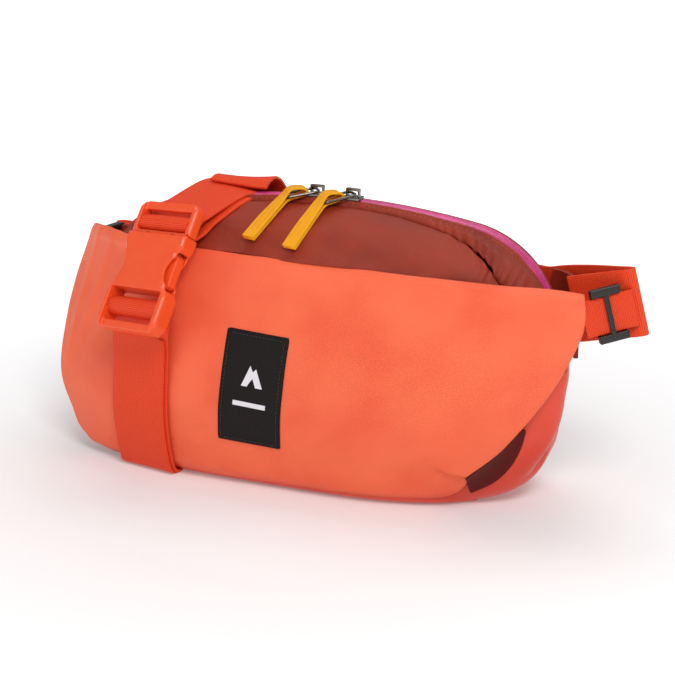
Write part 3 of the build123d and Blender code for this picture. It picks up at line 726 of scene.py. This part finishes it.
def facing_panel():
    """Gathered strip between the seam and the zip."""
    steps = np.r_[0, 0.03, 0.06, np.linspace(0.1, 0.95, 30), 0.975, 1.0]
    grid, length, t = strip_between(seam_edge, zip_front, steps)
    x, y = grid[..., 0], grid[..., 1]
    off = y - seam_edge(x)
    to_zip = zip_front(x) - y
    size = 0.5 + 3.0 * ramp(x, 60, 98) + 0.6 * (1 - ramp(x, -140, -100))
    wander = 2.0 * ripple(length, 0.0, 30, 4) + 0.12 * off
    gather = np.abs(np.sin(math.pi * length / 7.4 + wander)) ** 0.8 - 0.45
    puff = size * gather * np.exp(-off / 5.5) - 1.3 * np.exp(-off / 0.9)
    puff += (0.5 + 1.5 * ramp(x, 70, 105)) * bump(t, 0.42, 0.25) + 0.3 * ripple(length, y, 16, 2)
    puff += 0.9 * bump(to_zip, 1.6, 1.6) - 0.5 * bump(to_zip, 3.6, 0.6)
    puff -= 1.3 * np.exp(-to_zip / 0.5)
    sheet("zip_facing_cloth", pushed(grid, puff), FABRIC, rust, "upper_fabric", replaces=("zip_facing",))
    stitch_line("facing_stitches", beside(zip_front, -3.6))


def rear_panel():
    """Strip between the zip and the back."""
    grid, length, _ = strip_between(zip_rear, level(41.4), np.r_[0, 0.02, 0.04, np.linspace(0.07, 1.0, 28)])
    y = grid[..., 1]
    off = y - zip_rear(grid[..., 0])
    puff = 0.9 * bump(off, 1.6, 1.6) - 1.3 * np.exp(-off / 0.5) - 0.5 * bump(off, 4.2, 0.6)
    puff += 1.7 * bump(y, 33.5, 5) + 0.5 * ripple(length, y * 2, 40, 12) * ramp(off, 4, 10)
    sheet("rear_gusset_cloth", pushed(grid, puff), FABRIC, rust, "upper_fabric", replaces=("rear_gusset",))
    stitch_line("rear_stitches", beside(zip_rear, 4.2))


def stitch_line(name, edge):
    """Stitches over the bag along an edge, clear of its feet."""
    grid, _, _ = strip_between(beside(edge, -0.5), beside(edge, 0.5), (0, 0.5, 1))
    keep = slice(6, -6)
    line, normals = grid[1][keep], grid_normals(grid)[1][keep]
    stitches(name, line + normals * 0.35, normals, thread_rust, "pack", length=1.9, pitch=3.1, thread=0.4,
             slot="upper_fabric")


def zip_parts():
    """Both halves of the closed zip: tape sheets that take the place of the tape and the coil."""
    halves = {"front": (beside(zip_front, -1.5), level(ZIP_Y - 0.1)),
              "rear": (level(ZIP_Y + 0.1), beside(zip_rear, 1.5))}
    for side, (a, b) in halves.items():
        grid, _, _ = strip_between(a, b, np.linspace(0, 1, 16))
        off = np.abs(grid[..., 1] - ZIP_Y)
        puff = 0.2 + 0.7 * bump(off, 1.5, 1.3) - 0.6 * bump(off, 0.0, 0.45)
        sheet(f"zip_half_{side}", pushed(grid, puff), FABRIC, magenta, "zip_tape",
              replaces=(f"zip_tape_{side}", f"zip_coil_{side}"))


FOOT = 53.0                         # radius of the bag's lower corners, seen from the front
WALL_TOP, WALL_LOW, BASE_Z = 84, 70, 0.4
ROUND = 2 / 2.3                     # a little squarer than a circle
# depth y and half the width of the bag's lower half
tub_table = curve([(-26, 114), (-23.5, 121), (-12.5, 142), (0, 148.5), (12.5, 142), (23.5, 138.5),
                   (38.5, 128), (43, 125)])


def tub_row(y):
    """Outline at one depth, down the left wall, under the base and up the right wall."""
    w = float(tub_table(y))
    a = np.linspace(0, math.pi / 2, 46)
    wall = np.linspace(WALL_TOP, WALL_LOW + 0.5, 12)
    x = np.r_[np.full(len(wall), w), w - FOOT + FOOT * np.cos(a) ** ROUND]
    z = np.r_[wall, WALL_LOW - (WALL_LOW - BASE_Z) * np.sin(a) ** ROUND]
    right = np.column_stack([x, np.full(len(x), y), z])
    flat = np.linspace(FOOT - w, w - FOOT, 80)[1:-1]
    base = np.column_stack([flat, np.full(len(flat), y), np.full(len(flat), BASE_Z)])
    return np.concatenate([right * (-1, 1, 1), base, right[::-1]])


def lower_shell():
    """Coated cloth of the sides and the base, with soft upright folds at the sides."""
    # depths run backwards, so that the cloth faces outwards
    grid = np.array([tub_row(y) for y in np.arange(-25, 41.1, 1.5)[::-1]])
    x, y, z = np.moveaxis(grid, -1, 0)
    side = ramp(np.abs(x), 70, 110)
    fold = 1.5 * ripple(y, z * 0.5, 46, 21) + 0.5 * ripple(y, z * 0.6, 18, 22)
    fold += 4.2 * bump(y - 0.25 * (z - 40), 12, 3.8) * ramp(z, 16, 36) * (1 - ramp(z, 66, 80))
    fold -= 4.0 * bump(y - 0.3 * (z - 40), 1.5, 4.6) * ramp(z, 10, 30) * (1 - ramp(z, 56, 78))
    fold -= 2.2 * bump(y - 0.2 * (z - 40), 23, 4.4) * ramp(z, 14, 34) * (1 - ramp(z, 60, 78))
    fold = side * ramp(z, 3, 14) * fold
    fold -= 1.2 * bump(y, 41, 3) * side
    fold += 1.6 * ramp(z, 62, 78) * ramp(y, -9, -2)
    # the left wing lies close over the rim
    fold -= 2.6 * (x < 0) * ramp(z, 66, 80) * (1 - ramp(y, -12, -5))
    sheet("lower_shell", pushed(grid, fold), 1.4, coated, "coated_fabric",
          replaces=("front_side_panel", "base_and_side_panel"))


def wing_gusset():
    """Cloth from the right wing's lower edge in to the bag's side, sagging between them."""
    edges = []
    for points in (
        [(104.5, -22, 9.4), (117, -19.5, 17), (125.5, -18, 27), (130.5, -18, 38), (133.4, -19.5, 49)],
        [(105.5, -34.0, 22.4), (113, -33.4, 30), (121, -29.4, 37.4), (127, -26.8, 44.5), (132.6, -25.2, 51)],
    ):
        line, _ = along(points, 1.0)
        edges.append(line[np.linspace(0, len(line) - 1, 40).round().astype(int)])
    grid = np.linspace(*edges, 14)
    sag = np.broadcast_to(1.6 * np.sin(np.linspace(0, math.pi, 14))[:, None], grid.shape[:2])
    sheet("wing_gusset_cloth", pushed(grid, -sag), FABRIC, dark_rust, "gusset_fabric",
          replaces=("wing_gusset_right",))


upper_panel()
facing_panel()
rear_panel()
zip_parts()
lower_shell()
wing_gusset()


# ---------------------------------------------------------------- belt and straps

LOOP_TILT = math.radians(15.0)      # the right loop leans out at the top
DOWN, UP, ACROSS_BAG = (0, 0, -1), (0, 0, 1), (1, 0, 0)


def tilted(points, lift=0.0):
    """Points (x, y) of the right loop's own plane, with the direction across the webbing."""
    c, s = math.cos(LOOP_TILT), math.sin(LOOP_TILT)
    return [(165 + x * c + lift * s, y, 115 + x * s - lift * c, s, 0, -c) for x, y in points]


def facing(points, across):
    """Points with one direction across the webbing for all."""
    return [(*point, *across) for point in points]


def belt_right():
    """Round the right loop, along the back, folded upwards and over the crest."""
    path = facing([(-68, 48.2, 108), (-20, 48.3, 108), (30, 48.4, 108), (60, 48.6, 108)], DOWN)
    path += [(96, 48.8, 107.5, 0.05, 0, -1)]
    path += tilted([(-38, 47.2), (-26, 43), (-12, 34.6), (0, 25.6), (12, 15.6), (19.4, 9.6), (21.4, 7.3),
                    (20.8, 5.2), (17.5, 4.7), (10, 6.3), (-4, 9.2), (-16.5, 11.3)])
    strap("belt_right", path, BELT_WIDTH, 1.7, belt, "pack", step=1.2, slot="belt_webbing",
          replaces=("belt_loop_right",))
    over = facing([(-50, 46.6, 96), (-50, 46.8, 118), (-50, 46.6, 130), (-50.4, 45.6, 141),
                   (-51, 43.2, 149.8), (-51.6, 38.8, 156.6), (-52.2, 33.4, 161.8), (-52.8, 28.4, 164.0),
                   (-53.2, 24.0, 163.9), (-53.6, 20.6, 162.7), (-53.8, 18.4, 161.2)], (1, 0.06, 0.02))
    strap("belt_crest", over, BELT_WIDTH, 1.7, belt, "pack", step=1.0, crown=0.7, slot="belt_webbing",
          replaces=("upper_strap_back",))


def belt_left():
    """Out along the back and folded flat at the left loop."""
    path = facing([(-69, 47.2, 105), (-90, 47.4, 105), (-110, 48.8, 105), (-130, 51.6, 105),
                   (-146, 54.2, 105), (-152.4, 54.2, 105), (-154.6, 52.0, 105), (-152.6, 49.6, 105),
                   (-146, 48, 105), (-138, 45.9, 105), (-130, 43.6, 105)], UP)
    strap("belt_left", path, BELT_WIDTH, 1.7, belt, "pack", step=1.2, slot="belt_webbing",
          replaces=("belt_loop_left",))


# the buckle's own frame: its origin, along it to the plug, across it and out from the bag
BUCKLE = np.array((-84.0, -62.0, 91.5))
ALONG = np.array((0.100044, 0.57025, 0.815357))
ACROSS = np.array((0.960374, -0.269596, 0.070715))
OUT = np.array((-0.260142, -0.775973, 0.574624))


def on_buckle(points):
    """Points (along, out) of the buckle's frame."""
    return [(*(BUCKLE + ALONG * v + OUT * n), *ACROSS) for v, n in points]


def belt_lower():
    """Down the back, under the base, up the front and round the socket's bar, then back inside."""
    c, s = math.cos(0.185), -math.sin(0.185)
    path = facing([(-88, 45.2, 122), (-88, 45.2, 80), (-88, 45.2, 30), (-88, 44.8, 10), (-88, 42.4, 3.2),
                   (-88, 40, 1.7), (-88, 37, 1.1), (-88, 33, 1.0), (-88, 0, 1.0), (-88, -28, 1.0)],
                  ACROSS_BAG)
    turn_under = len(path) - 1
    path += [(-88, -32, 1.1, c, s * 0.5, 0)]
    path += facing([(-88, -36.5, 1.7), (-88, -39.5, 3.6), (-88, -42.2, 9), (-88, -45.6, 22), (-88, -47.6, 40),
                    (-87.8, -46.6, 56), (-87.2, -46.0, 70), (-86.2, -47.0, 82)], (c, s, 0))
    path += [(-84.4, -49.0, 91, 0.97, -0.25, 0.03)]
    *wrap, end = on_buckle([(9.7, -3.4), (9.7, 1.0), (11.6, 3.2), (16.8, 3.2), (18.7, 1.0), (18.7, -3.6)])
    strap("belt_lower", path + wrap, BELT_WIDTH, BELT_THICK, belt, "pack", step=1.0, crown=0.25,
          slot="belt_webbing", replaces=("lower_strap_front", "lower_strap_under", "socket_webbing"))
    # the tail runs inside the first layer, a little to the right of it
    tail = [(x + 1.7 * ax, y + 1.9 + 0.85 * ay, z + (0.4 if z < 6 else 0), ax, ay, az)
            for x, y, z, ax, ay, az in path[turn_under:-1]]
    tail += [(-82.6, -46.6, 91, 0.96, -0.27, 0.05), (-81.4, -47.6, 98, 0.96, -0.27, 0.06), end]
    strap("belt_tail", tail, BELT_WIDTH, 1.5, belt, "pack", step=1.5, slot="belt_webbing")


def belt_upper():
    """Round the plug's bar: the upper layer to the crest, the lower layer back under it."""
    across = (0.93, -0.36, -0.10)
    wrap = on_buckle([(62.0, -3.4), (62.0, 1.0), (63.8, 3.3), (67.2, 3.3), (69.0, 1.0)])
    top = [(-76.0, -20.0, 146.3, 0.95, -0.31, -0.02)]
    top += facing([(-73.6, -13, 149.4), (-70.4, -4, 152.4), (-66.4, 6, 155.8), (-63.0, 14, 158.2),
                   (-61.0, 19, 158.9), (-59.2, 23, 158.8), (-57.8, 26.5, 158.2)], across)
    upper = strap("belt_upper", wrap + top, BELT_WIDTH, BELT_THICK, belt, None, step=1.0, crown=0.3,
                  slot="belt_webbing", replaces=("upper_strap_front", "plug_webbing"))
    low = facing([(-76.6, -23.4, 139.6), (-74.9, -19.6, 140.2), (-72.8, -14.6, 142.0), (-69.8, -7.6, 146.6),
                  (-66.0, 0, 150.6), (-61.6, 9, 154.8), (-58.8, 16, 156.6), (-57.4, 20, 156.8)], across)
    under = strap("belt_under", low, BELT_WIDTH, 1.5, belt, None, step=1.0, crown=0.3, slot="belt_webbing")
    for obj in (upper, under):
        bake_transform(obj)


def narrow_straps():
    paths = {
        "right": tilted([(-5.5, -11.2), (0, -8.0), (6.5, -4.4), (13, -0.9), (19.3, 2.9)], lift=1.8),
        "left": facing([(-152.6, 23, 110), (-151.4, 29.2, 110), (-150, 37.4, 110), (-148.5, 47, 110)], UP),
    }
    for side, path in paths.items():
        strap(f"narrow_{side}", path, NARROW_WIDTH, 1.4, narrow, "pack", step=1.0, slot="narrow_webbing",
              replaces=(f"stabiliser_strap_{side}",))


belt_right()
belt_left()
belt_lower()
belt_upper()
narrow_straps()


# ---------------------------------------------------------------- padded back

def inflate(obj, voxel, pressure, cap):
    """Blows the pad up as cloth, and gives its points in metres, each within the cap of where it started."""
    for other in bpy.context.selected_objects:
        other.select_set(False)
    bpy.context.view_layer.objects.active = obj
    obj.select_set(True)
    remesh = obj.modifiers.new("remesh", "REMESH")
    remesh.mode, remesh.voxel_size = "VOXEL", voxel * MM
    bpy.ops.object.modifier_apply(modifier="remesh")
    start = np.empty(len(obj.data.vertices) * 3)
    obj.data.vertices.foreach_get("co", start)
    cloth = obj.modifiers.new("cloth", "CLOTH")
    cloth.settings.use_pressure = True
    cloth.settings.uniform_pressure_force = pressure
    cloth.settings.effector_weights.gravity = 0.0
    scene = bpy.context.scene
    for step in range(1, 21):
        scene.frame_set(step)
    bpy.ops.object.modifier_apply(modifier="cloth")
    scene.frame_set(1)
    end = np.empty_like(start)
    obj.data.vertices.foreach_get("co", end)
    start, move = start.reshape(-1, 3), (end - start).reshape(-1, 3)
    length = np.linalg.norm(move, axis=1, keepdims=True)
    return start + move * np.minimum(1.0, cap * MM / np.maximum(length, 1e-9))


BACK_HALF, BACK_TOP, BACK_LOW = 126, 147, 1.5
BACK_FRONT, BACK_REAR = 38.7, 41.4  # depths of the pad before it is blown up
CHANNELS = (50, 92)                 # heights of the sewn channels


def back_outline(half, height, low):
    """Closed outline (x, z) of the back, its base corners rounded."""
    outline = arch(half, half, height, 60, 62, counts=(10, 16, 60, 16, 10))
    a = np.linspace(0, math.pi / 2, 18)[1:]
    foot = np.column_stack([half - FOOT + FOOT * np.cos(a), 60 - (60 - low) * np.sin(a)])
    base = np.column_stack([np.linspace(half - FOOT, FOOT - half, 30)[1:-1], np.full(28, low)])
    return np.concatenate([outline, foot, base, (foot * (-1, 1))[::-1]])


def back_binding():
    """Bound seam round the padded back."""
    line = back_outline(BACK_HALF + 0.4, BACK_TOP + 0.6, BACK_LOW - 0.1)
    line = np.concatenate([line, line[:3]])
    rows = [(x, BACK_REAR, z, 0, 1, 0) for x, z in line[::2]]
    strap("back_binding", rows, 4.4, 2.2, dark_rust, "pack", step=1.5, edge=0.8, slot="gusset_fabric")


def padded_back():
    """Crowned pad of spacer mesh with two sewn channels."""
    line = back_outline(BACK_HALF, BACK_TOP, BACK_LOW)
    n = len(line)
    verts = [(x, y, z) for y in (BACK_FRONT, BACK_REAR) for x, z in line]
    faces = [list(range(n - 1, -1, -1)), list(range(n, 2 * n))]
    faces += [(i, (i + 1) % n, (i + 1) % n + n, i + n) for i in range(n)]
    obj = make("padded_back", verts, faces, mesh_back, None)
    x, y, z = inflate(obj, voxel=2.2, pressure=4.0, cap=2.4).T / MM
    outer = ramp(y, BACK_REAR - 1.2, BACK_REAR - 0.2)
    rim = BACK_HALF - np.abs(x)
    sewn = sum(bump(z, height, 2.6) for height in CHANNELS) * ramp(rim, 0, 6)
    y = np.maximum(y, BACK_FRONT - 0.05) + outer * (0.9 * ramp(rim, 2, 14) - 1.3 * sewn)
    y = np.minimum(y, 43.6)
    obj.data.vertices.foreach_set("co", (np.column_stack([x, y, z]) * MM).ravel())
    obj.data.update()
    fine = obj.modifiers.new("fine", "SUBSURF")
    fine.levels = fine.render_levels = 1
    smooth_faces(obj.data)
    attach(obj, "pack")
    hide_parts("back_panel")


padded_back()
back_binding()


# ---------------------------------------------------------------- zip pulls

# where the bail is hinged, where it ends and where the tab ends
HINGE = {"left": (-3.55, 18, 162.39), "right": (18.17, 18, 162.06)}
RING_END = {"left": (-18.3, 7.7, 159.9), "right": (5.0, 4.6, 159.4)}
TAB_END = {"left": (-28.0, -23.0, 141.4), "right": (-2.0, -26.0, 139.2)}


def pull_tab(side):
    """Webbing folded round the ring's end, its loop pushed forward over the ring."""
    hinge, end, free = (np.array(spot[side], float) for spot in (HINGE, RING_END, TAB_END))
    z = np.array((0, 0, 1.0))
    ring, tab = unit(hinge - end), unit(free - end)
    bar = unit(np.cross(ring, z))
    flat = unit(np.cross(z, tab))
    up = np.cross(tab, flat)
    level_turn = flat if np.dot(bar, flat) > 0 else -flat
    middle = free * 0.6 + end * 0.4
    low_side = [free - up * 0.75, middle - up * 0.35, end + tab * 8 - up * 0.55, end + tab * 3 - z * 1.1,
                end + ring * 1.5 - z * 1.7, end + ring * 6 - z * 1.2, end + ring * 10.2 - z * 0.4]
    top_side = [end + ring * 11.5 + z * 0.8, end + ring * 10.6 + z * 2.0, end + ring * 6.5 + z * 3.5,
                end + ring * 2 + z * 3.5, end + tab * 2.5 + z * 1.9, end + tab * 8 + up * 1.4,
                middle + up * 1.3, free + up * 0.75]
    path = []
    for point in low_side + top_side:
        mix = min(max(np.dot(point - end, tab) / 16.0, 0.0), 1.0)
        path.append((*point, *unit(bar * (1 - mix) + level_turn * mix)))
    obj = strap(f"pull_webbing_{side}", path, 8.5, 1.35, yellow, None, step=0.5, crown=0.12, edge=0.35,
                slot="tab_webbing", replaces=(f"pull_tab_{side}",))
    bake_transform(obj)
    for row, shift in ((0, -1.7), (2, 1.7)):
        line = np.linspace(end + tab * 12, end + tab * 31, 20) + up * 2.15 + flat * shift
        stitches(f"pull_stitch_{side}_{row}", line, np.tile(up, (20, 1)), thread_yellow, f"tab_{side}",
                 length=1.0, pitch=1.5, thread=0.34, slot="tab_webbing")


for side in ("left", "right"):
    pull_tab(side)


# ---------------------------------------------------------------- hard parts

def finish_node(node, material, voxel=None, smooth=3):
    """Material for a CAD node; with a voxel size (mm), its edges are rounded as moulding rounds them."""
    obj = bpy.data.objects[node]
    obj.data.materials.clear()
    obj.data.materials.append(material)
    if voxel:
        remesh = obj.modifiers.new("even", "REMESH")
        remesh.mode, remesh.voxel_size, remesh.use_smooth_shade = "VOXEL", voxel * MM, True
        soften = obj.modifiers.new("soften", "SMOOTH")
        soften.factor, soften.iterations = 0.5, smooth


finish_node("buckle_socket", plastic, 0.42, 12)
finish_node("buckle_plug", plastic, 0.42, 14)
finish_node("release_prong_left", plastic, 0.38, 10)
finish_node("release_prong_right", plastic, 0.38, 10)
for side in ("left", "right"):
    finish_node(f"triglide_{side}", black, 0.4, 4)
    finish_node(f"slider_body_{side}", nickel, 0.22, 3)
    finish_node(f"pull_ring_{side}", nickel)
    finish_node(f"back_wing_{side}", rust)
finish_node("wing_gusset_left", dark_rust)
finish_node("zip_end_stops", nickel)
for inside in ("front_inner_wall", "inner_pocket", "back_pad"):
    finish_node(inside, lining)
